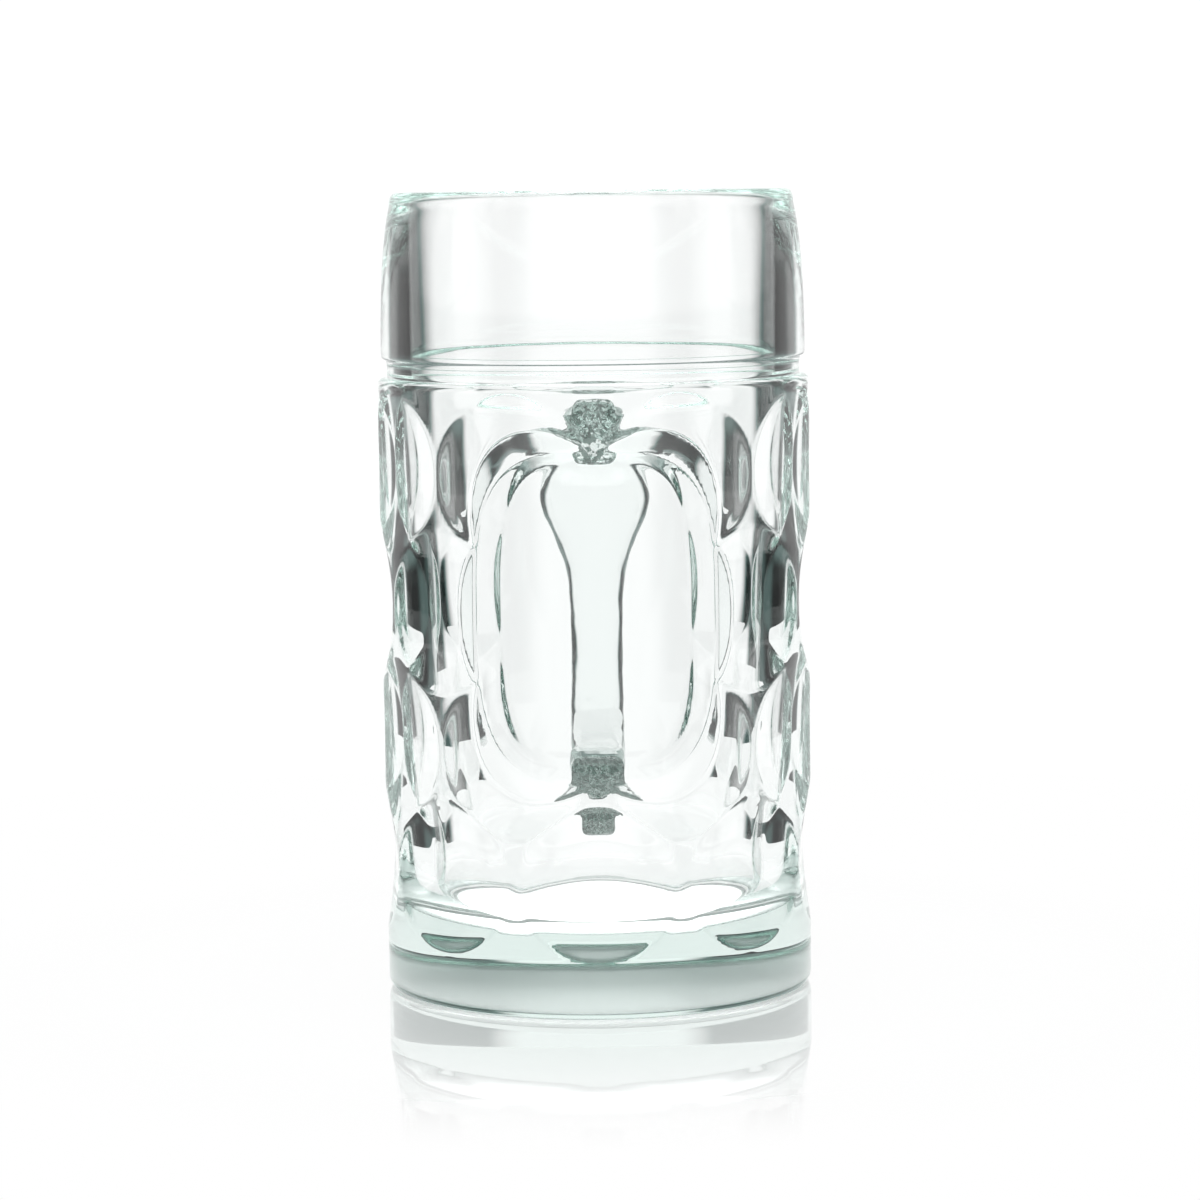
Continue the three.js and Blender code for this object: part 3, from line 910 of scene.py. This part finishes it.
def mirrored_light(tree, stage, parts):
    """Light that the glass and the floor mirror: dim from the front, white from behind and from above."""
    level = add_ramp(tree, parts["Y"], *MIRRORED_RANGE, stage.front_light, stage.light)
    above = add_ramp(tree, parts["Z"], *HORIZON_RANGE, 0.0, stage.light)
    ceiling = add_ramp(tree, parts["Z"], *CEILING_RANGE, 1.0, stage.ceiling)
    return add_math(tree, "MAXIMUM", level, add_math(tree, "MULTIPLY", above, ceiling))


def studio_world(stage):
    """Soft studio light from white panels, whose dark rings draw the edges of the glass."""
    world = bpy.data.worlds.new("studio_light")
    world.use_nodes = True
    tree = world.node_tree
    place = tree.nodes.new("ShaderNodeTexCoord").outputs["Generated"]
    parts = add_parts(tree, place)
    rays = tree.nodes.new("ShaderNodeLightPath").outputs
    light = panel_light(tree, stage, parts)
    more = add_math(tree, "SUBTRACT", mirrored_light(tree, stage, parts), light)
    light = add_math(tree, "MULTIPLY_ADD", more, rays["Is Reflection Ray"], light)
    for kind in ("Is Camera Ray", "Is Diffuse Ray"):
        light = add_math(tree, "MAXIMUM", light, rays[kind])
    background = tree.nodes["Background"]
    tree.links.new(light, background.inputs["Strength"])
    bright = add_ramp(tree, light, *SHADE_RANGE, 0.0, 1.0)
    tree.links.new(add_colours(tree, bright, stage.shade, WHITE), background.inputs["Color"])
    return world


def studio_floor(stage):
    """A round floor just below the foot."""
    radius = stage.floor_radius
    rim = []
    for side in range(FLOOR_SIDES):
        turn = 2 * math.pi * side / FLOOR_SIDES
        rim.append((radius * math.cos(turn), radius * math.sin(turn), -FLOOR_DROP))
    mesh = bpy.data.meshes.new("floor")
    mesh.from_pydata(rim, [], [tuple(range(FLOOR_SIDES))])
    mesh.materials.append(floor_material(stage))
    return add_object("floor", mesh)


def studio_camera(stage, height):
    """A camera level with the rim, a little to the right of the axis, tilted down and rolled slightly."""
    data = bpy.data.cameras.new("camera")
    data.lens = stage.lens
    data.sensor_width = SENSOR_WIDTH
    data.clip_end = CLIP_END
    camera = add_object("camera", data)
    place = Matrix.Translation((stage.offset, -stage.distance, height))
    aim = Matrix.Rotation(math.pi / 2 - stage.tilt, 4, "X")
    camera.matrix_world = place @ aim @ Matrix.Rotation(-stage.roll, 4, "Z")
    return camera


class MUG_OT_stage(bpy.types.Operator):
    """Set the stage: a round white floor, the studio light and the camera"""

    bl_idname = "mug.stage"
    bl_label = "Stage"

    def execute(self, context):
        scene = context.scene
        stage = scene.mug_stage
        floor = studio_floor(stage)
        scene.world = studio_world(stage)
        scene.camera = studio_camera(stage, BODY_BOX[1].z)
        scene.view_settings.view_transform = "Standard"
        scene.cycles.max_bounces = BOUNCES
        scene.cycles.transmission_bounces = TRANSMISSION_BOUNCES
        scene.cycles.glossy_bounces = GLOSSY_BOUNCES
        return {"FINISHED"}


class MUG_PT_panel(bpy.types.Panel):
    """Lists the mug's pieces and their sizes"""

    bl_idname = "MUG_PT_panel"
    bl_label = "Dimpled beer mug"
    bl_space_type = "VIEW_3D"
    bl_region_type = "UI"
    bl_category = "Mug"

    def draw(self, context):
        layout = self.layout
        for operator, groups in PANEL_ROWS:
            layout.operator(operator)
            for group in groups:
                settings = getattr(context.scene, group)
                column = layout.column()
                for name in settings.__annotations__:
                    column.prop(settings, name)


SETTINGS = {
    "mug_body": MugBodySizes,
    "mug_dimples": MugDimpleSizes,
    "mug_handle": MugHandleSizes,
    "mug_glass": MugGlass,
    "mug_stage": MugStage,
}
PANEL_ROWS = (
    ("mug.body", ("mug_body", "mug_dimples", "mug_glass")),
    ("mug.handle", ("mug_handle",)),
    ("mug.stage", ("mug_stage",)),
)
CLASSES = (*SETTINGS.values(), MUG_OT_body, MUG_OT_handle, MUG_OT_stage, MUG_PT_panel)


def register():
    """Adds the classes and the scene's settings."""
    for kind in CLASSES:
        bpy.utils.register_class(kind)
    for name, kind in SETTINGS.items():
        setattr(bpy.types.Scene, name, PointerProperty(type=kind))


def unregister():
    """Takes the settings and the classes out again."""
    for name in SETTINGS:
        delattr(bpy.types.Scene, name)
    for kind in reversed(CLASSES):
        bpy.utils.unregister_class(kind)


def main():
    """Builds the mug and its stage."""
    register()
    bpy.ops.mug.body()
    bpy.ops.mug.handle()
    bpy.ops.mug.stage()


if __name__ == "__main__":
    main()
